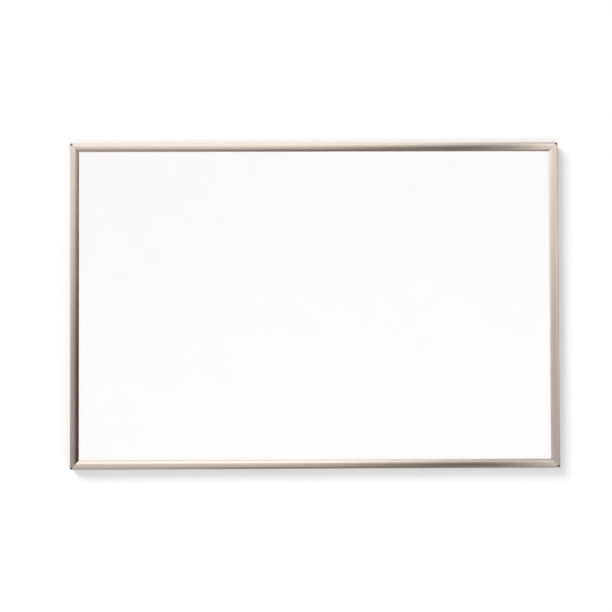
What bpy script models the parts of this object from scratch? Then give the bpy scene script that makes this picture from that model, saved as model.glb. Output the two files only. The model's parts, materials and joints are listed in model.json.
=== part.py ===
"""Whiteboard in a mitred aluminium frame with a rounded front, hung on the wall by four sliding hangers.

Metres, +Z up. The writing face looks along -Y and the width runs along X. The back of the frame lies on
the wall, at y = 0, and the origin is the middle of the top rail's back.

The frame's section is drawn in two distances: "inset", from the board's outer edge towards its middle,
and "depth", from the wall towards the viewer.
"""

import math

import bmesh
import bpy
from mathutils import Matrix, Vector

# Whole board
BOARD_WIDTH = 0.900
BOARD_HEIGHT = 0.600

# Frame extrusion
FRAME_FACE = 0.016
FRAME_WALL = 0.0012
CROWN_INSET = 0.0060
CROWN_RISE = 0.0033
LIP_EDGE = 0.0009
SHELF_REACH = 0.0073
RETURN_LIP = 0.0012
RETURN_LIP_WALL = 0.0010
REAR_EDGE_RADIUS = 0.0006
ARCH_STEPS = 32
HOLLOW_STEPS = 8
EDGE_STEPS = 4

# Panel laminate
SHEET_GAUGE = 0.0004
CORE_THICKNESS = 0.0060
BACK_GAUGE = 0.0003
GLUE_LINE = 0.0003

# Clearances
FIT = 0.0003
RUNNING_GAP = 0.0004

# Corner key
KEY_LEG = 0.045
KEY_LEG_CHAMFER = 0.0012
KEY_SCREW_WALL = 0.0006
NOSE_RADIUS = 0.0040
NOSE_STEPS = 32
NOSE_TOP_STEPS = 6

# Countersunk key screw
SCREW_RADIUS = 0.0015
SCREW_HEAD_RADIUS = 0.0028
SCREW_HEAD_HEIGHT = 0.0017
SCREW_LENGTH = 0.0090
SCREW_POINT = 0.0015
SCREW_SINK = 0.0002
SCREW_FROM_LEG_END = 0.012
SCREW_STEPS = 20
RECESS_SPAN = 0.0030
RECESS_WIDTH = 0.0007
RECESS_DEPTH = 0.0010

# Sliding hanger
HANGER_GAUGE = 0.0015
HANGER_WIDTH = 0.040
HANGER_FROM_END = 0.150
JOGGLE_RUN = 0.0025
KEYHOLE_RADIUS = 0.0050
SLOT_RADIUS = 0.0025
SLOT_TRAVEL = 0.0085
PLATE_MARGIN = 0.0040
PLATE_CORNER_RADIUS = 0.0040
KEYHOLE_STEPS = 8

# How far a cutter runs past the surface that it opens, and how close two points are taken as one
CUT_PAST = 0.001
NEAR = 1e-6

# Section of the frame, worked out from the sizes above: insets first, then depths
KEY_LEG_WIDTH = 2 * (SCREW_RADIUS + FIT + KEY_SCREW_WALL)
WEB_OUTER = FRAME_WALL + KEY_LEG_WIDTH + 2 * FIT
WEB_INNER = WEB_OUTER + FRAME_WALL
SHELF_TIP = WEB_INNER + SHELF_REACH
HOOK_OUTER = WEB_INNER + FIT
HOOK_INNER = HOOK_OUTER + HANGER_GAUGE
RETURN_LIP_OUTER = HOOK_INNER + RUNNING_GAP
FLANGE_TIP = RETURN_LIP_OUTER + RETURN_LIP_WALL
SCREW_INSET = (FRAME_WALL + WEB_OUTER) / 2

RETURN_LIP_TOP = FRAME_WALL + RETURN_LIP
SHELF_BACK = RETURN_LIP_TOP + HANGER_GAUGE + 2 * RUNNING_GAP
SHELF_FRONT = SHELF_BACK + FRAME_WALL
PANEL_BACK = SHELF_FRONT + FIT
CORE_BACK = PANEL_BACK + BACK_GAUGE + GLUE_LINE
SHEET_BACK = CORE_BACK + CORE_THICKNESS + GLUE_LINE
PANEL_FRONT = SHEET_BACK + SHEET_GAUGE
LIP_BACK = PANEL_FRONT + FIT
LIP_FRONT = LIP_BACK + LIP_EDGE
CROWN_DEPTH = LIP_FRONT + CROWN_RISE

# The rounded front is one arc over the frame's face that falls further to the panel than to the outer edge.
# The wall under it is an arc about the same centre.
ARCH_RADIUS = ((FRAME_FACE - CROWN_INSET) ** 2 + CROWN_RISE**2) / (2 * CROWN_RISE)
ARCH_DEPTH = CROWN_DEPTH - ARCH_RADIUS
HOLLOW_RADIUS = ARCH_RADIUS - FRAME_WALL

# The laminate's edge stops short of the web all round
PANEL_INSET = WEB_INNER + FIT
PANEL_WIDTH = BOARD_WIDTH - 2 * PANEL_INSET
PANEL_HEIGHT = BOARD_HEIGHT - 2 * PANEL_INSET

# The sliding hangers' plates: the step back to the wall, the keyhole's middle and the free end
JOGGLE_INSET = FLANGE_TIP + HANGER_GAUGE
PLATE_INSET = JOGGLE_INSET + JOGGLE_RUN
KEYHOLE_INSET = PLATE_INSET + PLATE_MARGIN + SLOT_RADIUS + SLOT_TRAVEL
PLATE_END = KEYHOLE_INSET + SLOT_TRAVEL + SLOT_RADIUS + PLATE_MARGIN
PLATE_FRONT = FIT + HANGER_GAUGE

# Height of the board's middle, with the origin halfway across the back of the top rail
BOARD_MIDDLE = FLANGE_TIP / 2 - BOARD_HEIGHT / 2

# One rail per side: turn about Y from the top rail's place, length, and outer edge's distance from the middle
RAILS = {
    "top": (0.0, BOARD_WIDTH, BOARD_HEIGHT / 2),
    "right": (math.pi / 2, BOARD_HEIGHT, BOARD_WIDTH / 2),
    "bottom": (math.pi, BOARD_WIDTH, BOARD_HEIGHT / 2),
    "left": (-math.pi / 2, BOARD_HEIGHT, BOARD_WIDTH / 2),
}
# One key per corner: turn about Y from the top right corner's place, and the corner's signs along X and Z
CORNERS = {
    "top_right": (0.0, 1, 1),
    "bottom_right": (math.pi / 2, 1, -1),
    "bottom_left": (math.pi, -1, -1),
    "top_left": (-math.pi / 2, -1, 1),
}


def arch_depth(inset, radius):
    """Depth of the arc of that radius about the arch's centre, at an inset."""
    return ARCH_DEPTH + math.sqrt(radius**2 - (inset - CROWN_INSET) ** 2)


def arch_inset(depth, radius):
    """Inset of the inner side of the arc of that radius about the arch's centre, at a depth."""
    return CROWN_INSET + math.sqrt(radius**2 - (depth - ARCH_DEPTH) ** 2)


def arch_between(inset_a, inset_b, radius, steps):
    """Points along the arc about the arch's centre, evenly turned, from one inset to another."""
    turn_a = math.acos((inset_a - CROWN_INSET) / radius)
    turn_b = math.acos((inset_b - CROWN_INSET) / radius)
    return arc((CROWN_INSET, ARCH_DEPTH), radius, turn_a, turn_b, steps)


def arc(centre, radius, start, end, steps):
    """Points along a circular arc in a plane, both ends included."""
    turns = [start + (end - start) * i / steps for i in range(steps + 1)]
    return [(centre[0] + radius * math.cos(t), centre[1] + radius * math.sin(t)) for t in turns]


def start_scene():
    """An empty scene with one collection for the board's pieces and one for the cutters."""
    for obj in list(bpy.data.objects):
        bpy.data.objects.remove(obj, do_unlink=True)
    made = []
    for name in ("whiteboard", "cutters"):
        collection = bpy.data.collections.new(name)
        bpy.context.scene.collection.children.link(collection)
        made.append(collection)
    return made


def finish(name, colour, roughness, metallic):
    """A material of one colour, given as linear red, green and blue."""
    material = bpy.data.materials.new(name)
    material.use_nodes = True
    shader = material.node_tree.nodes["Principled BSDF"]
    shader.inputs["Base Color"].default_value = (*colour, 1.0)
    shader.inputs["Roughness"].default_value = roughness
    shader.inputs["Metallic"].default_value = metallic
    return material


def place(name, mesh, collection, location=(0, 0, 0), turn=0.0, material=None, parent=None):
    """An object of that mesh, turned about Y and set at a point."""
    obj = bpy.data.objects.new(name, mesh)
    collection.objects.link(obj)
    obj.location = location
    obj.rotation_euler = (0, turn, 0)
    if material:
        mesh.materials.clear()
        mesh.materials.append(material)
    obj.parent = parent
    return obj


def hide_cutter(obj):
    obj.hide_render = True
    obj.display_type = "WIRE"
    return obj


def cut(obj, cutter, operation="DIFFERENCE"):
    """Adds a Boolean that takes the cutter from the object, or joins it, or keeps what they share."""
    modifier = obj.modifiers.new(cutter.name, "BOOLEAN")
    modifier.operation = operation
    modifier.object = cutter


def applied_mesh(obj):
    """The object's mesh with its modifiers applied and its seams welded. The object itself is removed."""
    bpy.context.view_layer.update()
    graph = bpy.context.evaluated_depsgraph_get()
    mesh = bpy.data.meshes.new_from_object(obj.evaluated_get(graph))
    bpy.data.objects.remove(obj)
    body = bmesh.new()
    body.from_mesh(mesh)
    bmesh.ops.remove_doubles(body, verts=body.verts, dist=NEAR)
    bmesh.ops.recalc_face_normals(body, faces=body.faces)
    body.to_mesh(mesh)
    body.free()
    return mesh


def smooth(mesh, sharp_degrees=30):
    mesh.shade_smooth()
    mesh.set_sharp_from_angle(angle=math.radians(sharp_degrees))
    return mesh


def slab(loops, thickness):
    """A flat outline, with any holes, thickened by half to each side of its plane."""
    curve = bpy.data.curves.new("outline", "CURVE")
    curve.dimensions = "2D"
    curve.fill_mode = "BOTH"
    curve.extrude = thickness / 2
    for loop in loops:
        spline = curve.splines.new("POLY")
        spline.points.add(len(loop) - 1)
        spline.use_cyclic_u = True
        for point, (x, y) in zip(spline.points, loop):
            point.co = (x, y, 0, 1)
    outline = bpy.data.objects.new("outline", curve)
    bpy.context.scene.collection.objects.link(outline)
    return applied_mesh(outline)


def section_bar(loops, length):
    """A bar along X from a section of inset and depth: outer edge up, at z = 0, and back at y = 0."""
    mesh = slab(loops, length)
    mesh.transform(Matrix(((0, 0, -1), (0, -1, 0), (-1, 0, 0))).to_4x4())
    return mesh


def turned(profile, steps):
    """A solid of revolution about Z, from radius and height points that run down its outer side."""
    mesh = bpy.data.meshes.new("profile")
    mesh.from_pydata(
        [(radius, 0, height) for radius, height in profile],
        [(i, i + 1) for i in range(len(profile) - 1)],
        [],
    )
    lathe = bpy.data.objects.new("profile", mesh)
    bpy.context.scene.collection.objects.link(lathe)
    spin = lathe.modifiers.new("turn", "SCREW")
    spin.steps = steps
    spin.render_steps = steps
    spin.use_merge_vertices = True
    spin.merge_threshold = NEAR
    return applied_mesh(lathe)


def box(size, middle):
    """A box of that size with its middle at a point."""
    mesh = bpy.data.meshes.new("box")
    body = bmesh.new()
    bmesh.ops.create_cube(body, size=1)
    bmesh.ops.scale(body, vec=size, verts=body.verts)
    bmesh.ops.translate(body, vec=middle, verts=body.verts)
    body.to_mesh(mesh)
    body.free()
    return mesh


def frame_section():
    """The extrusion: key chamber, lipped hanger channel at the back, panel shelf and rounded front."""
    hollow_lip = arch_inset(LIP_BACK, HOLLOW_RADIUS)
    rear_corner = (REAR_EDGE_RADIUS, REAR_EDGE_RADIUS)
    outer = arc(rear_corner, REAR_EDGE_RADIUS, math.pi, 1.5 * math.pi, EDGE_STEPS)
    outer += [
        (FLANGE_TIP, 0),
        (FLANGE_TIP, RETURN_LIP_TOP),
        (RETURN_LIP_OUTER, RETURN_LIP_TOP),
        (RETURN_LIP_OUTER, FRAME_WALL),
        (WEB_INNER, FRAME_WALL),
        (WEB_INNER, SHELF_BACK),
        (SHELF_TIP, SHELF_BACK),
        (SHELF_TIP, SHELF_FRONT),
        (WEB_INNER, SHELF_FRONT),
    ]
    outer += arch_between(WEB_INNER, hollow_lip, HOLLOW_RADIUS, HOLLOW_STEPS)
    outer += [(FRAME_FACE, LIP_BACK)]
    outer += arch_between(FRAME_FACE, 0, ARCH_RADIUS, ARCH_STEPS)
    chamber = [(WEB_OUTER, FRAME_WALL), (FRAME_WALL, FRAME_WALL)]
    chamber += arch_between(FRAME_WALL, WEB_OUTER, HOLLOW_RADIUS, HOLLOW_STEPS)
    return outer, chamber


def mitre(mesh, length):
    """Sets each end point back by its inset, which makes the 45 degree joint, and by half a fit."""
    for vertex in mesh.vertices:
        inset = -vertex.co.z
        reach = length / 2 - inset - FIT / 2
        vertex.co.x = math.copysign(reach, vertex.co.x)


def make_rails(collection, parent, material):
    rails = {}
    for side, (turn, length, distance) in RAILS.items():
        mesh = section_bar(frame_section(), length)
        mitre(mesh, length)
        outward = Matrix.Rotation(turn, 3, "Y") @ Vector((0, 0, distance))
        rails[side] = place(f"{side}_rail", smooth(mesh), collection, outward, turn, material, parent)
    return rails


def nose_profile():
    """Radius and height points of the key's nose: the rounded front carried round the corner."""
    top = arch_between(NOSE_RADIUS, 0, ARCH_RADIUS, NOSE_TOP_STEPS)
    return [(NOSE_RADIUS - inset, depth) for inset, depth in top] + [(NOSE_RADIUS, 0), (0, 0)]


def nose_mesh(cutters):
    """The outer quarter of a turned post, at the top right corner, with the corner point at the origin."""
    post = place("nose_post", turned(nose_profile(), NOSE_STEPS), cutters, (-NOSE_RADIUS, 0, -NOSE_RADIUS))
    post.rotation_euler = (math.pi / 2, 0, 0)
    quarter_size = Vector((NOSE_RADIUS + CUT_PAST, 2 * (CROWN_DEPTH + CUT_PAST), NOSE_RADIUS + CUT_PAST))
    quarter_middle = Vector((CUT_PAST - NOSE_RADIUS, 0, CUT_PAST - NOSE_RADIUS)) / 2
    quarter = place("nose_quarter", box(quarter_size, quarter_middle), cutters)
    cut(post, quarter, "INTERSECT")
    bpy.context.view_layer.update()
    placed = post.matrix_world.copy()
    mesh = applied_mesh(post)
    mesh.transform(placed)
    bpy.data.objects.remove(quarter)
    return mesh


def key_legs():
    """The L of the key, at the top right corner: a leg for each rail's chamber, with chamfered ends."""
    outer = FRAME_WALL + FIT
    inner = outer + KEY_LEG_WIDTH
    back = FRAME_WALL + FIT
    front = arch_depth(outer, HOLLOW_RADIUS) - FIT
    tip = KEY_LEG - KEY_LEG_CHAMFER
    leg = [(outer, tip), (outer + KEY_LEG_CHAMFER, KEY_LEG), (inner - KEY_LEG_CHAMFER, KEY_LEG), (inner, tip)]
    outline = [(outer, outer)] + leg + [(inner, inner)] + [(y, x) for x, y in reversed(leg)]
    mesh = slab([outline], front - back)
    mesh.transform(Matrix.Translation((0, 0, (front + back) / 2)))
    mesh.transform(Matrix(((-1, 0, 0), (0, 0, -1), (0, -1, 0))).to_4x4())
    return mesh


def corner_point(signs):
    return Vector((signs[0] * BOARD_WIDTH / 2, 0, signs[1] * BOARD_HEIGHT / 2))


def make_keys(collection, cutters, parent, material):
    """Moulded keys that join the rails. Each shows at the corner only as a small round nose."""
    nose = smooth(nose_mesh(cutters))
    keys = {}
    for corner, (turn, *signs) in CORNERS.items():
        at = corner_point(signs)
        key = place(f"{corner}_corner_key", smooth(key_legs()), collection, at, turn, material, parent)
        nose_cutter = hide_cutter(place(f"{corner}_nose", nose, cutters, at, turn, parent=parent))
        cut(key, nose_cutter, "UNION")
        keys[corner] = key
    return keys


def clear_noses(rails, cutters, parent):
    """Squares off the rails' mitre points, so that the noses have room."""
    side = NOSE_RADIUS + FIT + CUT_PAST
    reach = CROWN_DEPTH + 2 * CUT_PAST
    size = Vector((side, reach, side))
    room = box(size, Vector((CUT_PAST, CUT_PAST, CUT_PAST)) - size / 2)
    for corner, (turn, *signs) in CORNERS.items():
        at = corner_point(signs)
        cutter = hide_cutter(place(f"{corner}_nose_room", room, cutters, at, turn, parent=parent))
        for side_name in corner_sides(corner):
            cut(rails[side_name], cutter)


def corner_sides(corner):
    """The two sides that meet at a corner."""
    return corner.split("_")


def screw_profile(growth=0.0, past=0.0):
    """Radius and height points of a countersunk screw, head face at height 0, or of its clearance hole."""
    head = SCREW_HEAD_RADIUS + growth
    shank = SCREW_RADIUS + growth
    end = SCREW_LENGTH + growth
    return [
        (0, past),
        (head, past),
        (head, -growth),
        (shank, -SCREW_HEAD_HEIGHT - growth),
        (shank, SCREW_POINT - end),
        (0, -end),
    ]


def screw_mesh(cutters):
    """A screw with a cross recess."""
    screw = place("screw", turned(screw_profile()[:2] + screw_profile()[3:], SCREW_STEPS), cutters)
    arms = []
    for size in ((RECESS_SPAN, RECESS_WIDTH), (RECESS_WIDTH, RECESS_SPAN)):
        arm = box(Vector((*size, 2 * RECESS_DEPTH)), Vector((0, 0, 0)))
        arms.append(place("recess_arm", arm, cutters))
        cut(screw, arms[-1])
    mesh = applied_mesh(screw)
    for arm in arms:
        bpy.data.objects.remove(arm)
    return smooth(mesh)


def screw_points():
    """Each key screw's name, the corner and side that it joins, and where its head's face lies."""
    for corner, (_, x_sign, z_sign) in CORNERS.items():
        along = KEY_LEG - SCREW_FROM_LEG_END
        for side in corner_sides(corner):
            flat = side in ("top", "bottom")
            inset_x, inset_z = (along, SCREW_INSET) if flat else (SCREW_INSET, along)
            at = corner_point((x_sign, z_sign)) - Vector((x_sign * inset_x, SCREW_SINK, z_sign * inset_z))
            other = [s for s in corner_sides(corner) if s != side][0]
            yield f"{side}_rail_screw_{other}", corner, side, at


def make_screws(collection, cutters, parent, material, rails, keys):
    """Two screws a corner, driven from the back through the rails into the key's legs."""
    screw = screw_mesh(cutters)
    hole = turned(screw_profile(growth=FIT, past=SCREW_SINK + CUT_PAST), SCREW_STEPS)
    facing_wall = (-math.pi / 2, 0, 0)
    for name, corner, side, at in screw_points():
        obj = place(name, screw, collection, at, material=material, parent=parent)
        obj.rotation_euler = facing_wall
        cutter = hide_cutter(place(f"{name}_hole", hole, cutters, at, parent=parent))
        cutter.rotation_euler = facing_wall
        cut(rails[side], cutter)
        cut(keys[corner], cutter)


def make_panel(collection, parent, materials):
    """The laminate: lacquered steel face, fibreboard core and galvanised back, each a glue line apart."""
    layers = {
        "writing_sheet": (SHEET_GAUGE, SHEET_BACK),
        "core_board": (CORE_THICKNESS, CORE_BACK),
        "backing_sheet": (BACK_GAUGE, PANEL_BACK),
    }
    for name, (thickness, back) in layers.items():
        size = Vector((PANEL_WIDTH, thickness, PANEL_HEIGHT))
        middle = Vector((0, -thickness / 2, 0))
        place(name, box(size, middle), collection, (0, -back, 0), material=materials[name], parent=parent)


def hanger_section():
    """Inset and depth points of the pressed plate: hooked over the return lip, then stepped to the wall."""
    neck_back = RETURN_LIP_TOP + RUNNING_GAP
    neck_front = neck_back + HANGER_GAUGE
    return [
        (HOOK_OUTER, FRAME_WALL + FIT),
        (HOOK_INNER, FRAME_WALL + FIT),
        (HOOK_INNER, neck_back),
        (JOGGLE_INSET, neck_back),
        (PLATE_INSET, FIT),
        (PLATE_END, FIT),
        (PLATE_END, PLATE_FRONT),
        (PLATE_INSET, PLATE_FRONT),
        (JOGGLE_INSET, neck_front),
        (HOOK_OUTER, neck_front),
    ]


def keyhole_outline():
    """A round entry for the screw head with a narrow slot above and below it."""
    neck = math.asin(SLOT_RADIUS / KEYHOLE_RADIUS)
    right = arc((0, 0), KEYHOLE_RADIUS, neck - math.pi / 2, math.pi / 2 - neck, KEYHOLE_STEPS)
    upper = arc((0, SLOT_TRAVEL), SLOT_RADIUS, 0, math.pi, KEYHOLE_STEPS)
    half = right + upper
    return half + [(-x, -y) for x, y in half]


def hanger_mesh(cutters):
    """One hanger along X about x = 0, with the rail's outer edge at z = 0."""
    body = place("hanger_blank", section_bar([hanger_section()], HANGER_WIDTH), cutters)
    opening = slab([keyhole_outline()], 2 * (PLATE_FRONT + CUT_PAST))
    opening.transform(Matrix.Rotation(math.pi / 2, 4, "X"))
    keyhole = place("keyhole", opening, cutters, (0, 0, -KEYHOLE_INSET))
    cut(body, keyhole)
    mesh = applied_mesh(body)
    bpy.data.objects.remove(keyhole)
    round_plate_corners(mesh)
    return smooth(mesh)


def round_plate_corners(mesh):
    body = bmesh.new()
    body.from_mesh(mesh)
    at_end = {v for v in body.verts if abs(v.co.z + PLATE_END) < NEAR}
    corners = [
        edge
        for edge in body.edges
        if at_end.issuperset(edge.verts) and abs(edge.verts[0].co.x - edge.verts[1].co.x) < NEAR
    ]
    round_off = {"offset": PLATE_CORNER_RADIUS, "segments": EDGE_STEPS, "profile": 0.5, "affect": "EDGES"}
    bmesh.ops.bevel(body, geom=corners, **round_off)
    body.to_mesh(mesh)
    body.free()


def make_hangers(collection, cutters, parent, material):
    """Two hangers in the top rail's channel and two in the bottom one's, each free to slide along X."""
    mesh = hanger_mesh(cutters)
    for side in ("top", "bottom"):
        turn, length, distance = RAILS[side]
        for end, sign in (("left", -1), ("right", 1)):
            along = sign * (length / 2 - HANGER_FROM_END)
            edge = distance if side == "top" else -distance
            place(f"{side}_{end}_hanger", mesh, collection, (along, 0, edge), turn, material, parent)


def main():
    collection, cutters = start_scene()
    board = bpy.data.objects.new("whiteboard", None)
    board.location.z = BOARD_MIDDLE
    collection.objects.link(board)

    aluminium = finish("anodised_aluminium", (0.60, 0.54, 0.48), 0.32, 1.0)
    nylon = finish("dark_nylon", (0.035, 0.033, 0.030), 0.50, 0.0)
    zinc = finish("zinc_plated_steel", (0.58, 0.58, 0.56), 0.35, 1.0)
    panel_finishes = {
        "writing_sheet": finish("white_lacquer", (0.92, 0.91, 0.92), 0.15, 0.0),
        "core_board": finish("fibreboard", (0.42, 0.31, 0.20), 0.90, 0.0),
        "backing_sheet": finish("galvanised_steel", (0.52, 0.53, 0.54), 0.42, 1.0),
    }

    make_panel(collection, board, panel_finishes)
    rails = make_rails(collection, board, aluminium)
    keys = make_keys(collection, cutters, board, nylon)
    clear_noses(rails, cutters, board)
    make_screws(collection, cutters, board, zinc, rails, keys)
    make_hangers(collection, cutters, board, zinc)


main()
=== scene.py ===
import json
import math

import bmesh
import bpy
from mathutils import Matrix, Vector

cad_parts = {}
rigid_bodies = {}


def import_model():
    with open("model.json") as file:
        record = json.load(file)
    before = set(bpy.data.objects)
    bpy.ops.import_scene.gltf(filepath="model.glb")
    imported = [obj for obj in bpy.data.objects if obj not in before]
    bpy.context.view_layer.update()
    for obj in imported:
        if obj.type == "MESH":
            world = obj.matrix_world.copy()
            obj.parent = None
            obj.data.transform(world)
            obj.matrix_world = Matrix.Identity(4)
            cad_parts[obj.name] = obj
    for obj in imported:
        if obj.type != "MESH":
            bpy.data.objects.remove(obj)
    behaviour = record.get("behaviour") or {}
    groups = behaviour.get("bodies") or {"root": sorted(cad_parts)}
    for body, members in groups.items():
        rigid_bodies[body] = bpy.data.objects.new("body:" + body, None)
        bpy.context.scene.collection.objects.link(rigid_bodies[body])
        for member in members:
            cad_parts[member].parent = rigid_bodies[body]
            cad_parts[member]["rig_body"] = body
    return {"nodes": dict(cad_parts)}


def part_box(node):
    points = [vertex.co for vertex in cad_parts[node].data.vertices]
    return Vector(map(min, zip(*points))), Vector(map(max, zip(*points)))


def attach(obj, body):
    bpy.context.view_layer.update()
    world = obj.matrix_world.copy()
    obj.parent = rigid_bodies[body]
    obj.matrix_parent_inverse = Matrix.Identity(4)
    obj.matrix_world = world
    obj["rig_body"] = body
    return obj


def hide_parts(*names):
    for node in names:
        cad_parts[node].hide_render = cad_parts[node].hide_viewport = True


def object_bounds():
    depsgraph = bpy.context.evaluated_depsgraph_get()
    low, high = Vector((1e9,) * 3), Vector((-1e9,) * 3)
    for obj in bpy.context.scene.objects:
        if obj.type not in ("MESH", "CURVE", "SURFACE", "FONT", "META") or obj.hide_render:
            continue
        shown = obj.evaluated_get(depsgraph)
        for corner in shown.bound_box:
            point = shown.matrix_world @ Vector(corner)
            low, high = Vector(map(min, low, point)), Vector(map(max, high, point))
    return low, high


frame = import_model()
cad_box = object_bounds()


# Core board. A 6 mm sheet of pressed wood fibre that keeps the panel stiff and flat.
# It is sawn to size and glued between the two metal sheets, and the rails hide its edges.
MM = 0.001

# The Mix node's sockets, where it mixes colours.
MIX_FACTOR, MIX_FROM, MIX_TO, MIX_RESULT = 0, 6, 7, 2


def linear(hex_colour):
    """A colour written as an sRGB hex value, as linear red, green, blue and alpha."""
    channels = [int(hex_colour[i : i + 2], 16) / 255 for i in (0, 2, 4)]
    return [c / 12.92 if c <= 0.04045 else ((c + 0.055) / 1.055) ** 2.4 for c in channels] + [1.0]


def add_node(tree, kind, sockets, **settings):
    """Adds a node with its settings and gives its outputs. A socket takes a value or an output."""
    made = tree.nodes.new("ShaderNode" + kind)
    for name, value in settings.items():
        setattr(made, name, value)
    for name, value in sockets.items():
        if isinstance(value, bpy.types.NodeSocket):
            tree.links.new(value, made.inputs[name])
        else:
            made.inputs[name].default_value = value
    return made.outputs


def start_material(name):
    """An empty material: the material, its node tree, and the piece's own coordinates in metres."""
    material = bpy.data.materials.new(name)
    material.use_nodes = True
    material.node_tree.nodes.clear()
    return material, material.node_tree, add_node(material.node_tree, "TexCoord", {})["Object"]


def dress(node, material):
    """Gives a CAD solid that is shown as it is its finish."""
    slots = frame["nodes"][node].data.materials
    slots.clear()
    slots.append(material)


# Pressed fibreboard: dull and warm brown, with short darker and paler fibres lying flat in the sheet.
FIBRE_LENGTH = 3 * MM
FIBRE_WIDTH = 0.6 * MM
fibreboard, tree, place = start_material("pressed_fibreboard")
along_fibre = add_node(tree, "Mapping", {"Vector": place, "Scale": (FIBRE_WIDTH / FIBRE_LENGTH, 1, 1)})
fibres = add_node(
    tree,
    "TexNoise",
    {"Vector": along_fibre["Vector"], "Scale": 1 / FIBRE_WIDTH, "Detail": 4.0},
)
brown = add_node(
    tree,
    "Mix",
    {MIX_FACTOR: fibres["Fac"], MIX_FROM: linear("8d6b48"), MIX_TO: linear("c19a6b")},
    data_type="RGBA",
)
raised = add_node(tree, "Bump", {"Height": fibres["Fac"], "Strength": 0.3, "Distance": 0.1 * MM})
surface = add_node(
    tree,
    "BsdfPrincipled",
    {"Base Color": brown[MIX_RESULT], "Roughness": 0.88, "IOR": 1.5, "Normal": raised["Normal"]},
)
add_node(tree, "OutputMaterial", {"Surface": surface["BSDF"]})
dress("core_board", fibreboard)


# Writing sheet. A 0.4 mm steel sheet, coil coated with white gloss lacquer that a dry marker wipes off.
# It is glued to the front of the core board and tucked under the rails' lips.

# Baked white lacquer: a bright white with a clear gloss. Its faint orange peel bends reflections a
# little, and wiping leaves it very slightly duller in broad patches.
PEEL_SPACING = 2.5 * MM
WIPE_WIDTH = 70 * MM
lacquer, tree, place = start_material("white_gloss_lacquer")
wiped = add_node(tree, "TexNoise", {"Vector": place, "Scale": 1 / WIPE_WIDTH, "Detail": 3.0})
white = add_node(
    tree,
    "Mix",
    {MIX_FACTOR: wiped["Fac"], MIX_FROM: linear("f7f5f6"), MIX_TO: linear("f9f7f8")},
    data_type="RGBA",
)
gloss = add_node(tree, "MapRange", {"Value": wiped["Fac"], "To Min": 0.16, "To Max": 0.24})
peel = add_node(tree, "TexNoise", {"Vector": place, "Scale": 1 / PEEL_SPACING, "Detail": 1.0})
rippled = add_node(tree, "Bump", {"Height": peel["Fac"], "Strength": 0.12, "Distance": 0.02 * MM})
surface = add_node(
    tree,
    "BsdfPrincipled",
    {
        "Base Color": white[MIX_RESULT],
        "Roughness": gloss["Result"],
        "IOR": 1.5,
        "Normal": rippled["Normal"],
    },
)
add_node(tree, "OutputMaterial", {"Surface": surface["BSDF"]})
dress("writing_sheet", lacquer)


# Backing sheet. A 0.3 mm steel sheet, hot-dip galvanised, glued to the back of the core board.
# It balances the front sheet, so that the panel stays flat, and it rests on the rails' shelves.

# Galvanised steel: zinc frozen in a patchwork of crystals, each with its own brightness and shine.
SPANGLE_WIDTH = 11 * MM
FEATHER_WIDTH = 1.2 * MM
FEATHER_SHARE = 0.35
WANDER_WIDTH = 4 * MM
WANDER_REACH = 3 * MM
galvanised, tree, place = start_material("galvanised_steel_sheet")
wander = add_node(tree, "TexNoise", {"Vector": place, "Scale": 1 / WANDER_WIDTH, "Detail": 3.0})
shifted = add_node(
    tree,
    "VectorMath",
    {0: wander["Color"], 1: (WANDER_REACH, WANDER_REACH, WANDER_REACH), 2: place},
    operation="MULTIPLY_ADD",
)
crystals = add_node(tree, "TexVoronoi", {"Vector": shifted["Vector"], "Scale": 1 / SPANGLE_WIDTH})
tilt = add_node(tree, "SeparateColor", {"Color": crystals["Color"]})
feathers = add_node(
    tree,
    "TexNoise",
    {"Vector": shifted["Vector"], "Scale": 1 / FEATHER_WIDTH, "Detail": 5.0},
)
bright = add_node(
    tree,
    "Math",
    {0: feathers["Fac"], 1: FEATHER_SHARE, 2: tilt["Red"]},
    operation="MULTIPLY_ADD",
)
zinc_grey = add_node(
    tree,
    "Mix",
    {MIX_FACTOR: bright["Value"], MIX_FROM: linear("a9aeb2"), MIX_TO: linear("cdd0d1")},
    data_type="RGBA",
)
dulled = add_node(tree, "MapRange", {"Value": tilt["Green"], "To Min": 0.34, "To Max": 0.52})
grained = add_node(tree, "Bump", {"Height": bright["Value"], "Strength": 0.15, "Distance": 0.05 * MM})
surface = add_node(
    tree,
    "BsdfPrincipled",
    {
        "Base Color": zinc_grey[MIX_RESULT],
        "Metallic": 1.0,
        "Roughness": dulled["Result"],
        "Normal": grained["Normal"],
    },
)
add_node(tree, "OutputMaterial", {"Surface": surface["BSDF"]})
dress("backing_sheet", galvanised)


# Frame rails. Four lengths of one aluminium extrusion with a rounded front, anodised in a satin finish.
# They are mitred at 45 degrees. Each holds the panel's edge in a groove, has a lipped channel for the
# hangers at the back, and a chamber outside it for the corner keys.
BOARD_WIDTH = cad_box[1].x - cad_box[0].x
BOARD_HEIGHT = cad_box[1].z - cad_box[0].z
BOARD_MIDDLE = Vector((0, 0, (cad_box[0].z + cad_box[1].z) / 2))
FIT = 0.3 * MM
FACE = 16 * MM
WALL = 1.2 * MM
LIP_FRONT = 14.7 * MM
CROWN = -cad_box[0].y
CROWN_INSET = 6.0 * MM
CROWN_RISE = CROWN - LIP_FRONT
ARCH_RADIUS = ((FACE - CROWN_INSET) ** 2 + CROWN_RISE**2) / (2 * CROWN_RISE)
ARCH_CENTRE = (CROWN_INSET, CROWN - ARCH_RADIUS)
ARCH_STEPS = 64
HOLLOW_STEPS = 12
LIP_BACK = 13.8 * MM
SHELF_BACK = 4.7 * MM
SHELF_TIP = 15.1 * MM
WEB_OUTER = 6.6 * MM
WEB_INNER = 7.8 * MM
RETURN_LIP_OUTER = 10 * MM
RETURN_LIP_TOP = 2.4 * MM
FLANGE_TIP = 11 * MM
DIE_RADIUS = 0.25 * MM
REAR_RADIUS = 0.6 * MM
NEAR = 1e-6
FLAT_ANGLE = math.radians(0.5)
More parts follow.
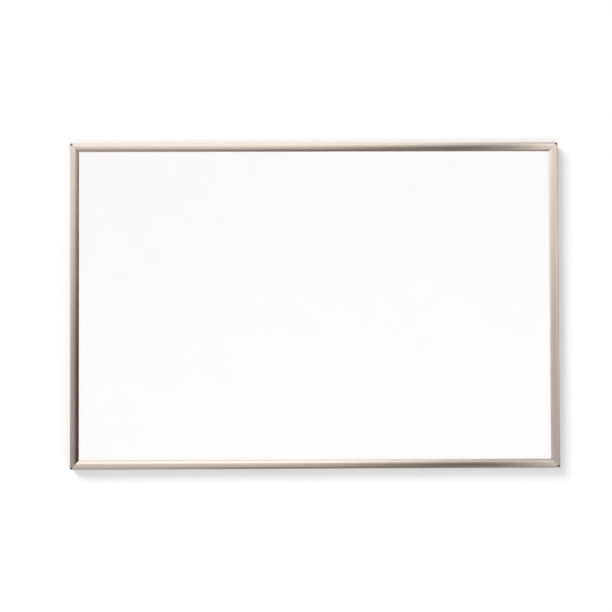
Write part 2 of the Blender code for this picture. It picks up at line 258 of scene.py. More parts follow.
SHARP_ANGLE = math.radians(30)
NOSE_RADIUS = 4 * MM
CUT_PAST = 1 * MM


def arc(centre, radius, start, end, steps):
    """Points along a circular arc in a plane, both ends included."""
    turns = [start + (end - start) * i / steps for i in range(steps + 1)]
    return [(centre[0] + radius * math.cos(t), centre[1] + radius * math.sin(t)) for t in turns]


def arch(inset_from, inset_to, radius, steps):
    """Points of inset and depth along the rounded front, or along a parallel curve inside it."""
    start, end = [math.acos((inset - ARCH_CENTRE[0]) / radius) for inset in (inset_from, inset_to)]
    return arc(ARCH_CENTRE, radius, start, end, steps)


def arch_depth(inset, radius):
    """The depth of that curve at an inset."""
    return ARCH_CENTRE[1] + math.sqrt(radius**2 - (inset - ARCH_CENTRE[0]) ** 2)


def rounded(corners, steps=4):
    """A closed outline from corners of two distances and a radius. A radius of 0 keeps the point."""
    outline = []
    for i, (across, up, radius) in enumerate(corners):
        here = Vector((across, up))
        before = (Vector(corners[i - 1][:2]) - here).normalized()
        after = (Vector(corners[(i + 1) % len(corners)][:2]) - here).normalized()
        if radius == 0:
            outline.append((across, up))
            continue
        half = before.angle(after) / 2
        centre = here + (before + after).normalized() * radius / math.sin(half)
        start = here + before * radius / math.tan(half) - centre
        end = here + after * radius / math.tan(half) - centre
        first = math.atan2(start.y, start.x)
        sweep = (math.atan2(end.y, end.x) - first + math.pi) % (2 * math.pi) - math.pi
        outline += arc(centre, radius, first, first + sweep, steps)
    return outline


def scratch(mesh):
    """A passing object of that mesh, for cutting and joining."""
    obj = bpy.data.objects.new("scratch", mesh)
    bpy.context.scene.collection.objects.link(obj)
    return obj


def applied(obj):
    """An object's mesh, its modifiers applied, seams welded and flats joined. The object is removed."""
    bpy.context.view_layer.update()
    graph = bpy.context.evaluated_depsgraph_get()
    mesh = bpy.data.meshes.new_from_object(obj.evaluated_get(graph))
    bpy.data.objects.remove(obj)
    body = bmesh.new()
    body.from_mesh(mesh)
    bmesh.ops.remove_doubles(body, verts=body.verts, dist=NEAR)
    bmesh.ops.dissolve_degenerate(body, edges=body.edges, dist=NEAR)
    bmesh.ops.dissolve_limit(body, angle_limit=FLAT_ANGLE, verts=body.verts, edges=body.edges)
    bmesh.ops.recalc_face_normals(body, faces=body.faces)
    body.to_mesh(mesh)
    body.free()
    return mesh


def combined(mesh, tools, operation):
    """A mesh with tool meshes taken from it, joined to it or shared with it, one after another."""
    obj = scratch(mesh)
    tool_objects = [scratch(tool) for tool in tools]
    for tool in tool_objects:
        modifier = obj.modifiers.new("tool", "BOOLEAN")
        modifier.operation = operation
        modifier.object = tool
    made = applied(obj)
    for tool in tool_objects:
        bpy.data.objects.remove(tool)
    return made


def slab(loops, thickness):
    """A flat outline, with any holes, thickened by half to each side of its plane."""
    curve = bpy.data.curves.new("outline", "CURVE")
    curve.dimensions = "2D"
    curve.fill_mode = "BOTH"
    curve.extrude = thickness / 2
    for loop in loops:
        spline = curve.splines.new("POLY")
        spline.points.add(len(loop) - 1)
        spline.use_cyclic_u = True
        for point, (x, y) in zip(spline.points, loop):
            point.co = (x, y, 0, 1)
    return applied(scratch(curve))


def section_bar(loops, length):
    """A bar along X from a section of inset and depth: outer edge up, at z = 0, and back at y = 0."""
    mesh = slab(loops, length)
    mesh.transform(Matrix(((0, 0, -1), (0, -1, 0), (-1, 0, 0))).to_4x4())
    return mesh


def box(size, middle):
    """A block of a size about its middle."""
    mesh = bpy.data.meshes.new("box")
    body = bmesh.new()
    bmesh.ops.create_cube(body, size=1)
    bmesh.ops.scale(body, vec=size, verts=body.verts)
    bmesh.ops.translate(body, vec=middle, verts=body.verts)
    body.to_mesh(mesh)
    body.free()
    return mesh


def turned(profile, steps):
    """A solid of revolution about Z, from radius and height points that run down its outer side."""
    mesh = bpy.data.meshes.new("profile")
    points = [(radius, 0, height) for radius, height in profile]
    mesh.from_pydata(points, [(i, i + 1) for i in range(len(points) - 1)], [])
    lathe = scratch(mesh)
    spin = lathe.modifiers.new("turn", "SCREW")
    spin.steps = steps
    spin.render_steps = steps
    spin.use_merge_vertices = True
    spin.merge_threshold = NEAR
    return applied(lathe)


def show_instead(name, mesh, at, turn, material, node):
    """Shows a detailed mesh in place of a CAD solid, on its body, set at a point and turned about Y."""
    piece = bpy.data.objects.new(name, mesh)
    bpy.context.scene.collection.objects.link(piece)
    piece.location = at
    piece.rotation_euler = (0, turn, 0)
    mesh.shade_smooth()
    mesh.set_sharp_from_angle(angle=SHARP_ANGLE)
    piece.modifiers.new("even_flats", "WEIGHTED_NORMAL").keep_sharp = True
    mesh.materials.clear()
    mesh.materials.append(material)
    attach(piece, frame["nodes"][node]["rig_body"])
    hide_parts(node)


# Satin anodised aluminium: a soft warm grey metal. Etching before the anodising blurs its reflections,
# and the die leaves faint lines along its length, drawn a few times coarser than real ones to show.
DIE_LINE = 0.7 * MM
DIE_LINE_LENGTH = 500 * MM
CLOUD = 60 * MM
aluminium, tree, place = start_material("satin_anodised_aluminium")
stretched = add_node(tree, "Mapping", {"Vector": place, "Scale": (DIE_LINE / DIE_LINE_LENGTH, 1, 1)})
lines = add_node(
    tree,
    "TexNoise",
    {"Vector": stretched["Vector"], "Scale": 1 / DIE_LINE, "Detail": 2.0},
)
clouds = add_node(tree, "TexNoise", {"Vector": place, "Scale": 1 / CLOUD, "Detail": 2.0})
uneven = add_node(tree, "Math", {0: lines["Fac"], 1: clouds["Fac"]}, operation="ADD")
warm_grey = add_node(
    tree,
    "Mix",
    {MIX_FACTOR: lines["Fac"], MIX_FROM: linear("c3b9af"), MIX_TO: linear("cbc1b8")},
    data_type="RGBA",
)
satin = add_node(
    tree,
    "MapRange",
    {"Value": uneven["Value"], "From Max": 2.0, "To Min": 0.25, "To Max": 0.37},
)
scored = add_node(tree, "Bump", {"Height": lines["Fac"], "Strength": 0.06, "Distance": 0.05 * MM})
surface = add_node(
    tree,
    "BsdfPrincipled",
    {
        "Base Color": warm_grey[MIX_RESULT],
        "Metallic": 1.0,
        "Roughness": satin["Result"],
        "Normal": scored["Normal"],
    },
)
add_node(tree, "OutputMaterial", {"Surface": surface["BSDF"]})


def rail_section():
    """The rail's outline and its key chamber, as inset from the outer edge and depth from the wall."""
    hollow = ARCH_RADIUS - WALL
    hollow_lip = ARCH_CENTRE[0] + math.sqrt(hollow**2 - (LIP_BACK - ARCH_CENTRE[1]) ** 2)
    shelf_front = SHELF_BACK + WALL
    corners = [
        (0, 0, REAR_RADIUS),
        (FLANGE_TIP, 0, DIE_RADIUS),
        (FLANGE_TIP, RETURN_LIP_TOP, DIE_RADIUS),
        (RETURN_LIP_OUTER, RETURN_LIP_TOP, DIE_RADIUS),
        (RETURN_LIP_OUTER, WALL, DIE_RADIUS),
        (WEB_INNER, WALL, DIE_RADIUS),
        (WEB_INNER, SHELF_BACK, DIE_RADIUS),
        (SHELF_TIP, SHELF_BACK, DIE_RADIUS),
        (SHELF_TIP, shelf_front, DIE_RADIUS),
        (WEB_INNER, shelf_front, DIE_RADIUS),
    ]
    corners += [(*point, 0) for point in arch(WEB_INNER, hollow_lip, hollow, HOLLOW_STEPS)]
    corners += [(FACE, LIP_BACK, DIE_RADIUS), (FACE, arch_depth(FACE, ARCH_RADIUS), DIE_RADIUS)]
    corners += [(*point, 0) for point in arch(FACE, 0, ARCH_RADIUS, ARCH_STEPS)[1:-1]]
    corners += [(0, arch_depth(0, ARCH_RADIUS), DIE_RADIUS)]
    chamber = [(WEB_OUTER, WALL), (WALL, WALL)] + arch(WALL, WEB_OUTER, hollow, HOLLOW_STEPS)
    return rounded(corners), chamber


# The key screws' places are needed here too, because the rails are countersunk for them.
SCREW_RADIUS = 1.5 * MM
HEAD_RADIUS = 2.8 * MM
HEAD_HEIGHT = 1.7 * MM
SCREW_LENGTH = 9 * MM
SCREW_POINT = 1.5 * MM
SCREW_SINK = 0.2 * MM
SCREW_FROM_CORNER = 33 * MM
SCREW_INSET = (WALL + WEB_OUTER) / 2
SCREW_STEPS = 40
DRIVEN = Matrix.Rotation(-math.pi / 2, 4, "X")


def countersink():
    """The room that a key screw takes out of a rail, head face at height 0."""
    head, shank = HEAD_RADIUS + FIT, SCREW_RADIUS + FIT
    end = SCREW_LENGTH + FIT
    sides = [(head, CUT_PAST), (head, -FIT), (shank, -HEAD_HEIGHT - FIT), (shank, -end)]
    mesh = turned([(0, CUT_PAST)] + sides + [(0, -end)], SCREW_STEPS)
    mesh.transform(DRIVEN)
    return mesh


def rail_mesh(length):
    """One rail along X about x = 0: mitred, cut back for the noses, countersunk for the screws."""
    mesh = section_bar(rail_section(), length)
    for vertex in mesh.vertices:
        reach = length / 2 + vertex.co.z - FIT / 2
        vertex.co.x = math.copysign(reach, vertex.co.x)
    tools = []
    room = NOSE_RADIUS + FIT
    for end in (-1, 1):
        size = Vector((2 * room, 2 * (CROWN + CUT_PAST), 2 * room))
        tools.append(box(size, Vector((end * length / 2, 0, 0))))
        hole = countersink()
        across = end * (length / 2 - SCREW_FROM_CORNER)
        hole.transform(Matrix.Translation((across, -SCREW_SINK, -SCREW_INSET)))
        tools.append(hole)
    return combined(mesh, tools, "DIFFERENCE")


SIDES = {  # Name: turn about Y, length and distance from the middle.
    "top": (0.0, BOARD_WIDTH, BOARD_HEIGHT / 2),
    "right": (math.pi / 2, BOARD_HEIGHT, BOARD_WIDTH / 2),
    "bottom": (math.pi, BOARD_WIDTH, BOARD_HEIGHT / 2),
    "left": (-math.pi / 2, BOARD_HEIGHT, BOARD_WIDTH / 2),
}
for side, (turn, length, distance) in SIDES.items():
    outward = Matrix.Rotation(turn, 3, "Y") @ Vector((0, 0, distance))
    show_instead(
        f"{side}_rail_extrusion",
        rail_mesh(length),
        BOARD_MIDDLE + outward,
        turn,
        aluminium,
        f"{side}_rail",
    )


# Corner keys. Moulded L pieces of dark nylon, pushed into the ends of the rails' chambers.
# Only a small round nose shows, which fills the point of each corner.
KEY_LEG = 45 * MM
KEY_CHAMFER = 1.2 * MM
NOSE_EDGE = 0.5 * MM
NOSE_TOP_STEPS = 8
NOSE_TURN_STEPS = 64

# Moulded nylon: nearly black and softly shiny. The spark-eroded mould leaves a fine grain,
# drawn about twice as coarse as the real one.
GRAIN = 0.35 * MM
nylon, tree, place = start_material("moulded_dark_nylon")
grain = add_node(tree, "TexNoise", {"Vector": place, "Scale": 1 / GRAIN, "Detail": 2.0})
dark = add_node(
    tree,
    "Mix",
    {MIX_FACTOR: grain["Fac"], MIX_FROM: linear("33312e"), MIX_TO: linear("45423e")},
    data_type="RGBA",
)
worn = add_node(tree, "MapRange", {"Value": grain["Fac"], "To Min": 0.42, "To Max": 0.58})
pitted = add_node(tree, "Bump", {"Height": grain["Fac"], "Strength": 0.25, "Distance": 0.04 * MM})
surface = add_node(
    tree,
    "BsdfPrincipled",
    {
        "Base Color": dark[MIX_RESULT],
        "Roughness": worn["Result"],
        "IOR": 1.53,
        "Normal": pitted["Normal"],
    },
)
add_node(tree, "OutputMaterial", {"Surface": surface["BSDF"]})


def nose_mesh():
    """The outer quarter of a turned post with a rounded top, its corner point at the origin."""
    top = arch(NOSE_RADIUS, 0, ARCH_RADIUS, NOSE_TOP_STEPS)
    edge = top[-1][1]
    corners = [(NOSE_RADIUS - inset, depth, 0) for inset, depth in top[:-1]]
    corners += [(NOSE_RADIUS, edge, NOSE_EDGE), (NOSE_RADIUS, 0, DIE_RADIUS), (0, 0, 0)]
    post = turned(rounded(corners), NOSE_TURN_STEPS)
    to_corner = Matrix.Translation((-NOSE_RADIUS, 0, -NOSE_RADIUS))
    post.transform(to_corner @ Matrix.Rotation(math.pi / 2, 4, "X"))
    size = Vector((NOSE_RADIUS + CUT_PAST, 2 * (CROWN + CUT_PAST), NOSE_RADIUS + CUT_PAST))
    quarter = box(size, Vector((CUT_PAST - NOSE_RADIUS, 0, CUT_PAST - NOSE_RADIUS)) / 2)
    return combined(post, [quarter], "INTERSECT")


def key_mesh():
    """A key at the top right corner: a leg for each rail's chamber, the nose and the screws' holes."""
    outer = WALL + FIT
    inner = WEB_OUTER - FIT
    front = arch_depth(outer, ARCH_RADIUS - WALL) - FIT
    tip = KEY_LEG - KEY_CHAMFER
    leg = [(outer, tip), (outer + KEY_CHAMFER, KEY_LEG), (inner - KEY_CHAMFER, KEY_LEG), (inner, tip)]
    outline = [(outer, outer)] + leg + [(inner, inner)] + [(y, x) for x, y in reversed(leg)]
    legs = slab([outline], front - outer)
    legs.transform(Matrix.Translation((0, 0, (front + outer) / 2)))
    legs.transform(Matrix(((-1, 0, 0), (0, 0, -1), (0, -1, 0))).to_4x4())
    whole = combined(legs, [nose_mesh()], "UNION")
    holes = []
    for inset_x, inset_z in ((SCREW_FROM_CORNER, SCREW_INSET), (SCREW_INSET, SCREW_FROM_CORNER)):
        hole = countersink()
        hole.transform(Matrix.Translation((-inset_x, -SCREW_SINK, -inset_z)))
        holes.append(hole)
    return combined(whole, holes, "DIFFERENCE")


CORNERS = {  # Name: turn about Y, and the signs of X and Z.
    "top_right": (0.0, 1, 1),
    "bottom_right": (math.pi / 2, 1, -1),
    "bottom_left": (math.pi, -1, -1),
    "top_left": (-math.pi / 2, -1, 1),
}
key = key_mesh()
for corner, (turn, x_sign, z_sign) in CORNERS.items():
    at = BOARD_MIDDLE + Vector((x_sign * BOARD_WIDTH / 2, 0, z_sign * BOARD_HEIGHT / 2))
    node = f"{corner}_corner_key"
    show_instead(f"{corner}_key_moulding", key.copy(), at, turn, nylon, node)


# Key screws. Small countersunk steel screws with a cross recess, zinc plated.
# Two at each corner are driven from the back, through the rails into the legs of the key.
HEAD_EDGE = 0.12 * MM
RECESS_SPAN = 3.0 * MM
RECESS_WIDTH = 0.75 * MM
RECESS_DEPTH = 1.1 * MM
RECESS_FOOT = 0.35

# Bright zinc plate: a cool silver with a faint straw and blue bloom from its passivation,
# in patches, over the fine lines of the rolled steel.
BLOOM = 7 * MM
ROLLED_LINE = 0.4 * MM
ROLLED_LINE_LENGTH = 10 * MM
zinc, tree, place = start_material("bright_zinc_plate")
bloom = add_node(tree, "TexNoise", {"Vector": place, "Scale": 1 / BLOOM, "Detail": 2.0})
rolled = add_node(
    tree,
    "Mapping",
    {"Vector": place, "Scale": (ROLLED_LINE / ROLLED_LINE_LENGTH, 1, 1)},
)
scratches = add_node(
    tree,
    "TexNoise",
    {"Vector": rolled["Vector"], "Scale": 1 / ROLLED_LINE, "Detail": 3.0},
)
silver = add_node(
    tree,
    "Mix",
    {MIX_FACTOR: bloom["Fac"], MIX_FROM: linear("b7bcc4"), MIX_TO: linear("ccc8bb")},
    data_type="RGBA",
)
plated = add_node(tree, "MapRange", {"Value": scratches["Fac"], "To Min": 0.24, "To Max": 0.46})
brushed = add_node(tree, "Bump", {"Height": scratches["Fac"], "Strength": 0.1, "Distance": 0.03 * MM})
surface = add_node(
    tree,
    "BsdfPrincipled",
    {
        "Base Color": silver[MIX_RESULT],
        "Metallic": 1.0,
        "Roughness": plated["Result"],
        "Normal": brushed["Normal"],
    },
)
add_node(tree, "OutputMaterial", {"Surface": surface["BSDF"]})


def recess_arm(size_x, size_y):
    """One bar of the cross recess, narrowing towards its foot."""
    arm = box(Vector((size_x, size_y, 2 * RECESS_DEPTH)), Vector((0, 0, 0)))
    for vertex in arm.vertices:
        if vertex.co.z < 0:
            vertex.co.x *= RECESS_FOOT
            vertex.co.y *= RECESS_FOOT
    return arm


def screw_mesh():
    """A screw with its head's face at y = 0, towards the wall."""
    corners = [
        (0, 0, 0),
        (HEAD_RADIUS, 0, HEAD_EDGE),
        (SCREW_RADIUS, -HEAD_HEIGHT, HEAD_EDGE),
        (SCREW_RADIUS, SCREW_POINT - SCREW_LENGTH, HEAD_EDGE),
        (0, -SCREW_LENGTH, 0),
    ]
    arms = [recess_arm(RECESS_SPAN, RECESS_WIDTH), recess_arm(RECESS_WIDTH, RECESS_SPAN)]
    mesh = combined(turned(rounded(corners), SCREW_STEPS), arms, "DIFFERENCE")
    mesh.transform(DRIVEN)
    return mesh


screw = screw_mesh()
for corner, (_, x_sign, z_sign) in CORNERS.items():
    z_side, x_side = corner.split("_")
    for side, other, inset in (
        (z_side, x_side, (SCREW_FROM_CORNER, SCREW_INSET)),
        (x_side, z_side, (SCREW_INSET, SCREW_FROM_CORNER)),
    ):
        across = x_sign * (BOARD_WIDTH / 2 - inset[0])
        up = z_sign * (BOARD_HEIGHT / 2 - inset[1])
        at = BOARD_MIDDLE + Vector((across, -SCREW_SINK, up))
        node = f"{side}_rail_screw_{other}"
        show_instead(f"{node}_plated", screw.copy(), at, 0.0, zinc, node)


# Hangers. Steel plates of 1.5 mm gauge, blanked and bent in a press, then zinc plated.
# Each hooks over the lip of a rail's channel and slides along it until its keyhole meets a wall screw.
GAUGE = 1.5 * MM
RUNNING_GAP = 0.4 * MM
BEND = 0.5 * MM
HANGER_WIDTH = 40 * MM
JOGGLE_RUN = 2.5 * MM
KEYHOLE_INSET = 30 * MM
KEYHOLE_RADIUS = 5 * MM
SLOT_RADIUS = 2.5 * MM
SLOT_TRAVEL = 8.5 * MM
PLATE_END = 45 * MM
PLATE_CORNER = 4 * MM
PLATE_CORNER_STEPS = 10
SHEARED_EDGE = 0.2 * MM
SHEARED_EDGE_STEPS = 2
SHEARED_ANGLE = math.radians(75)
KEYHOLE_STEPS = 24
KEYHOLE_CUT = 12 * MM


def hanger_section():
    """The bent plate in inset and depth: hooked over the channel's lip, then stepped to the wall."""
    hook_outer = WEB_INNER + FIT
    hook_inner = hook_outer + GAUGE
    neck = RETURN_LIP_TOP + RUNNING_GAP
    step = FLANGE_TIP + GAUGE
    plate = step + JOGGLE_RUN
    return rounded(
        [
            (hook_outer, WALL + FIT, 0),
            (hook_inner, WALL + FIT, 0),
            (hook_inner, neck, BEND),
            (step, neck, BEND),
            (plate, FIT, BEND + GAUGE),
            (PLATE_END, FIT, 0),
            (PLATE_END, FIT + GAUGE, 0),
            (plate, FIT + GAUGE, BEND),
            (step, neck + GAUGE, BEND + GAUGE),
            (hook_outer, neck + GAUGE, BEND + GAUGE),
        ],
        steps=6,
    )


def keyhole():
    """A round entry for the screw's head with a narrow slot above and below it, as a cutter."""
    neck = math.asin(SLOT_RADIUS / KEYHOLE_RADIUS)
    right = arc((0, 0), KEYHOLE_RADIUS, neck - math.pi / 2, math.pi / 2 - neck, KEYHOLE_STEPS)
    half = right + arc((0, SLOT_TRAVEL), SLOT_RADIUS, 0, math.pi, KEYHOLE_STEPS)
    mesh = slab([half + [(-x, -y) for x, y in half]], KEYHOLE_CUT)
    to_plate = Matrix.Translation((0, 0, -KEYHOLE_INSET))
    mesh.transform(to_plate @ Matrix.Rotation(math.pi / 2, 4, "X"))
    return mesh


def hanger_mesh():
    """One hanger about x = 0, with the rail's outer edge at z = 0."""
    mesh = combined(section_bar([hanger_section()], HANGER_WIDTH), [keyhole()], "DIFFERENCE")
    body = bmesh.new()
    body.from_mesh(mesh)
    ends = {v for v in body.verts if abs(v.co.z + PLATE_END) < NEAR}
    end_edges = [e for e in body.edges if ends.issuperset(e.verts)]
    corners = [e for e in end_edges if abs(e.verts[0].co.x - e.verts[1].co.x) < NEAR]
    bmesh.ops.bevel(
        body,
        geom=corners,
        offset=PLATE_CORNER,
        segments=PLATE_CORNER_STEPS,
        profile=0.5,
        affect="EDGES",
    )
    sheared = [e for e in body.edges if e.calc_face_angle(0) > SHEARED_ANGLE]
    bmesh.ops.bevel(
        body,
        geom=sheared,
        offset=SHEARED_EDGE,
        segments=SHEARED_EDGE_STEPS,
        profile=0.5,
        affect="EDGES",
    )
    body.to_mesh(mesh)
    body.free()
    return mesh


hanger = hanger_mesh()
for side, edge in (("top", BOARD_HEIGHT / 2), ("bottom", -BOARD_HEIGHT / 2)):
    for end in ("left", "right"):
        node = f"{side}_{end}_hanger"
        low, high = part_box(node)
        at = BOARD_MIDDLE + Vector(((low.x + high.x) / 2, 0, edge))
        turn = SIDES[side][0]
        show_instead(f"{node}_pressing", hanger.copy(), at, turn, zinc, node)


# Wall. A white painted wall close behind the board, which takes the board's shadow.
# It has a window behind the board and shows its front only, so that the back is seen and lit too.
WALL_GAP = 0.5 * MM
WINDOW_INSET = 4 * MM
WALL_HALF_WIDTH = 3.0
WALL_TOP = 2.0
FLOOR_LEVEL = -1.5
WALL_GLOW = 0.1

# Matt wall paint: plain white with no shine, rolled on evenly. Where it is looked at, a small share of
# plain white is added.
paint, tree, _ = start_material("white_wall_paint")


def seen_directly(tree):
    """1 where the camera, a mirror or a glass looks at a surface, and 0 where it only sheds light."""
    rays = add_node(tree, "LightPath", {})
    seen = rays["Is Camera Ray"]
    for kind in ("Is Glossy Ray", "Is Transmission Ray"):
        seen = add_node(tree, "Math", {0: seen, 1: rays[kind]}, operation="MAXIMUM")["Value"]
    return seen


def whitened(tree, colour, glow):
    """A matt colour which shows a share of plain white wherever it is looked at."""
    share = add_node(tree, "Math", {0: seen_directly(tree), 1: glow}, operation="MULTIPLY")
    matt = add_node(tree, "BsdfDiffuse", {"Color": linear(colour)})
    white = add_node(tree, "Emission", {"Color": linear("ffffff"), "Strength": 1.0})
    mixed = add_node(
        tree,
        "MixShader",
        {"Fac": share["Value"], 1: matt["BSDF"], 2: white["Emission"]},
    )
    return mixed["Shader"]


clear = add_node(tree, "BsdfTransparent", {})
facing = add_node(tree, "NewGeometry", {})
one_sided = add_node(
    tree,
    "MixShader",
    {"Fac": facing["Backfacing"], 1: whitened(tree, "fdfdfd", WALL_GLOW), 2: clear["BSDF"]},
)
add_node(tree, "OutputMaterial", {"Surface": one_sided["Shader"]})


def set_up(name, points, faces, material):
    """Adds a flat sheet of the room, which isn't part of the board."""
    mesh = bpy.data.meshes.new(name)
    mesh.from_pydata(points, [], faces)
    mesh.materials.append(material)
    sheet = bpy.data.objects.new(name, mesh)
    bpy.context.scene.collection.objects.link(sheet)
    return sheet


window_x = BOARD_WIDTH / 2 - WINDOW_INSET
window_z = BOARD_HEIGHT / 2 - WINDOW_INSET
across = [-WALL_HALF_WIDTH, -window_x, window_x, WALL_HALF_WIDTH]
down = [WALL_TOP, BOARD_MIDDLE.z + window_z, BOARD_MIDDLE.z - window_z, FLOOR_LEVEL]
quads = [(4 * row + column, row, column) for row in range(3) for column in range(3)]
set_up(
    "wall",
    [(x, WALL_GAP, z) for z in down for x in across],
    [(i, i + 4, i + 5, i + 1) for i, row, column in quads if (row, column) != (1, 1)],
    paint,
)


# Floor. Matt, pale grey linoleum, laid flat, well below the board and outside the picture.
# Views from other sides show it nearly white.
FLOOR_FRONT = -5.0
FLOOR_BACK = 4.0
FLOOR_GLOW = 0.8
lino, tree, _ = start_material("pale_grey_linoleum")
add_node(tree, "OutputMaterial", {"Surface": whitened(tree, "cbcac7", FLOOR_GLOW)})
left, right = -WALL_HALF_WIDTH, WALL_HALF_WIDTH
floor_points = [(left, FLOOR_FRONT), (right, FLOOR_FRONT), (right, FLOOR_BACK), (left, FLOOR_BACK)]
set_up("floor", [(x, y, FLOOR_LEVEL) for x, y in floor_points], [(0, 1, 2, 3)], lino)


# Dark brown cloth. It hangs round the front of the set, out of the picture, so that the bright rails
# have something dark and a little warm to mirror beside the lamps. Only reflections meet it.
CLOTH_HALF_WIDTH = 2.0
CLOTH_TOP = 1.4
CLOTH_FRONT = -3.0
CLOTH_BOTTOM = FLOOR_LEVEL + 10 * MM
cloth, tree, _ = start_material("dark_brown_cloth")
matt = add_node(tree, "BsdfDiffuse", {"Color": linear("3a2018")})
add_node(tree, "OutputMaterial", {"Surface": matt["BSDF"]})
cloth_points = [
    (x, y, z)
    for y in (CLOTH_FRONT, 0)
    for z in (CLOTH_BOTTOM, CLOTH_TOP)
    for x in (-CLOTH_HALF_WIDTH, CLOTH_HALF_WIDTH)
]
hung = set_up(
    "brown_cloth",
    cloth_points,
    [(0, 1, 3, 2), (0, 2, 6, 4), (1, 5, 7, 3), (2, 3, 7, 6), (0, 4, 5, 1)],
    cloth,
)
hung.visible_camera = False
hung.visible_diffuse = False
hung.visible_transmission = False
hung.visible_shadow = False


# Lamps. A soft bank high on the left lights the board, so that its shadow falls to the lower right.
# Weaker ones behind the camera, low down and on the right fill that shadow, one is for the sheet
# alone, and one lights the back. None of them shows in reflections.
BANKS = {  # Name: place, size and brightness.
    "key_bank": ((-4.3, -4.3, 4.8), (4.0, 4.0), 10.4),
    "fill_bank": ((0.8, -5.9, -0.3), (6.0, 3.5), 1.05),
    "low_bank": ((0.0, -2.0, -1.4), (3.0, 1.0), 1.6),
    "right_bank": ((5.2, -3.0, -0.3), (2.1, 2.1), 5.1),
    "sheet_bank": ((-0.5, -5.0, 0.2), (5.0, 4.0), 2.3),
    "back_bank": ((0.0, 2.5, 0.6), (2.0, 2.0), 1.0),
}


def light_up(name, at, facing, size, brightness):
    """Adds a rectangular lamp. A brightness of 1 is that of white paper in full light."""
    light = bpy.data.lights.new(name, "AREA")
    light.shape = "RECTANGLE"
    light.size, light.size_y = size
    light.energy = brightness * math.pi * size[0] * size[1]
    lamp = bpy.data.objects.new(name, light)
    lamp.location = at
    lamp.rotation_euler = Vector(facing).to_track_quat("-Z", "Y").to_euler()
    lamp.visible_camera = False
    bpy.context.scene.collection.objects.link(lamp)
    return lamp


def limit_light(lamp, piece, link_state):
    """Lets a lamp light one piece alone, or everything but that piece."""
    reach = bpy.data.collections.new(lamp.name)
    reach.objects.link(piece)
    reach.collection_objects[0].light_linking.link_state = link_state
    lamp.light_linking.receiver_collection = reach


banks = {}
for name, (at, size, brightness) in BANKS.items():
    banks[name] = light_up(name, at, BOARD_MIDDLE - Vector(at), size, brightness)
    banks[name].visible_glossy = False

# From the side, the key bank would draw the rails' lips as grey lines on the sheet, so it leaves the
# sheet out. The sheet's own bank stands nearly straight in front.
limit_light(banks["key_bank"], frame["nodes"]["writing_sheet"], "EXCLUDE")
limit_light(banks["sheet_bank"], frame["nodes"]["writing_sheet"], "INCLUDE")


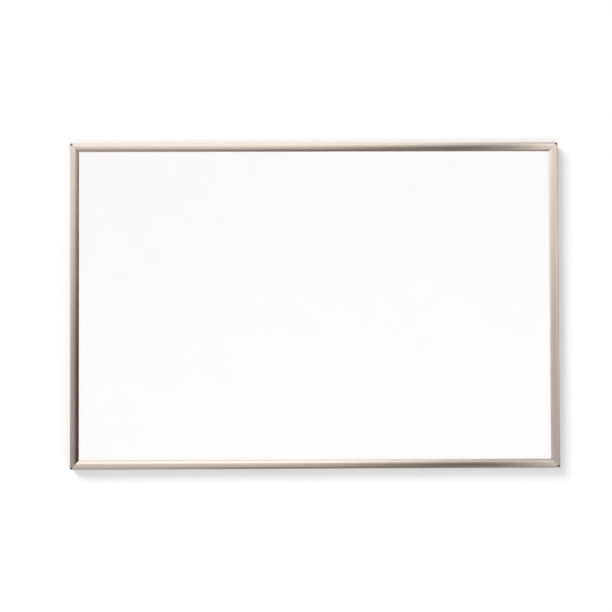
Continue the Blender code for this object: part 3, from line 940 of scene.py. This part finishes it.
# Reflection cards. Lit white cards stand round the board, out of the picture, for the metal to mirror.
# They show in reflections only. The first four hang above and below the board, for every piece.
# Each of the rest is a screen for the one rail that it names, so that the sheet's gloss stays even.
CARD_DISTANCE = 0.8
CARD_ABOVE = BOARD_MIDDLE.z + CARD_DISTANCE
CARD_BELOW = BOARD_MIDDLE.z - CARD_DISTANCE
UPWARD, DOWNWARD = (0, 0, 1), (0, 0, -1)
LEFTWARD, RIGHTWARD, BACKWARD = (-1, 0, 0), (1, 0, 0), (0, 1, 0)
CARDS = {  # Name: rail, place, facing, size and brightness.
    "overhead_card": (None, (-0.33, -1.025, CARD_ABOVE), DOWNWARD, (1.34, 1.95), 1.6),
    "overhead_right_card": (None, (0.67, -1.025, CARD_ABOVE), DOWNWARD, (0.66, 1.95), 0.7),
    "low_left_card": (None, (-0.67, -0.675, CARD_BELOW), UPWARD, (0.66, 1.25), 0.65),
    "low_card": (None, (0.33, -0.675, CARD_BELOW), UPWARD, (1.34, 1.25), 0.3),
    "left_rail_side": ("left", (-1.3, -0.65, -0.15), RIGHTWARD, (1.0, 1.0), 0.75),
    "left_rail_high": ("left", (-1.0, -1.2, 0.55), BACKWARD, (1.8, 1.5), 1.05),
    "left_rail_low": ("left", (-1.0, -1.25, -0.8), BACKWARD, (1.8, 1.2), 0.45),
    "left_rail_inner": ("left", (0.95, -1.3, 0.55), BACKWARD, (2.1, 1.5), 0.3),
    "right_rail_side": ("right", (0.66, -0.325, -0.2), LEFTWARD, (0.25, 0.8), 0.5),
    "right_rail_high": ("right", (0.2, -1.4, 0.55), BACKWARD, (3.4, 1.5), 1.05),
    "right_rail_low": ("right", (0.2, -1.45, -0.8), BACKWARD, (3.4, 1.2), 0.65),
    "right_rail_inner_high": ("right", (-1.6, -0.8, 0.4), RIGHTWARD, (1.2, 1.4), 2.4),
    "right_rail_inner_low": ("right", (-1.65, -0.8, -0.8), RIGHTWARD, (1.2, 1.0), 1.3),
    "top_rail_high": ("top", (-0.5, -1.6, 0.25), BACKWARD, (1.7, 0.5), 1.4),
    "top_rail_low": ("top", (-0.6, -1.65, -0.55), BACKWARD, (1.55, 1.1), 1.1),
    "bottom_rail_high": ("bottom", (-0.5, -1.75, 0.55), BACKWARD, (1.7, 1.5), 1.0),
    "bottom_rail_low": ("bottom", (-0.6, -1.8, -0.75), BACKWARD, (1.55, 1.1), 1.05),
    "top_rail_end": ("top", (0.7, -0.5, -0.1), BACKWARD, (0.4, 0.8), 1.75),
    "bottom_rail_end": ("bottom", (0.7, -0.55, -0.5), BACKWARD, (0.4, 0.8), 1.25),
}
for name, (rail, at, facing, size, brightness) in CARDS.items():
    card = light_up(name, at, facing, size, brightness)
    card.visible_diffuse = False
    if rail:
        limit_light(card, bpy.data.objects[f"{rail}_rail_extrusion"], "INCLUDE")


# World. A white studio, plain white wherever it is looked at.
# It sheds only a weak, even light on the board.
AMBIENT = 0.1
world = bpy.data.worlds.new("white_studio")
world.use_nodes = True
tree = world.node_tree
tree.nodes.clear()
ambient = add_node(tree, "Background", {"Color": linear("ffffff"), "Strength": AMBIENT})
backdrop_white = add_node(tree, "Background", {"Color": linear("ffffff"), "Strength": 1.0})
sky = add_node(
    tree,
    "MixShader",
    {"Fac": seen_directly(tree), 1: ambient["Background"], 2: backdrop_white["Background"]},
)
add_node(tree, "OutputWorld", {"Surface": sky["Shader"]})
bpy.context.scene.world = world


# Camera. It stands 2.5 m in front of the board, a little below and to the left of its middle.
# It looks slightly up and to the right, with a very small roll.
CAMERA_DISTANCE = 2.5
CAMERA_LEFT = 0.0449
CAMERA_BELOW = 0.0674
CAMERA_PITCH = math.radians(1.522)
CAMERA_YAW = math.radians(-0.658)
CAMERA_ROLL = math.radians(-0.208)
camera_data = bpy.data.cameras.new("camera")
camera_data.lens = 79.4
camera_data.sensor_width = 36.0
camera = bpy.data.objects.new("camera", camera_data)
stand = Vector((-CAMERA_LEFT, -CAMERA_DISTANCE, BOARD_MIDDLE.z - CAMERA_BELOW))
camera.matrix_world = (
    Matrix.Translation(stand)
    @ Matrix.Rotation(CAMERA_YAW, 4, "Z")
    @ Matrix.Rotation(math.pi / 2 + CAMERA_PITCH, 4, "X")
    @ Matrix.Rotation(CAMERA_ROLL, 4, "Z")
)
bpy.context.scene.collection.objects.link(camera)
bpy.context.scene.camera = camera
bpy.context.scene.view_settings.view_transform = "Standard"
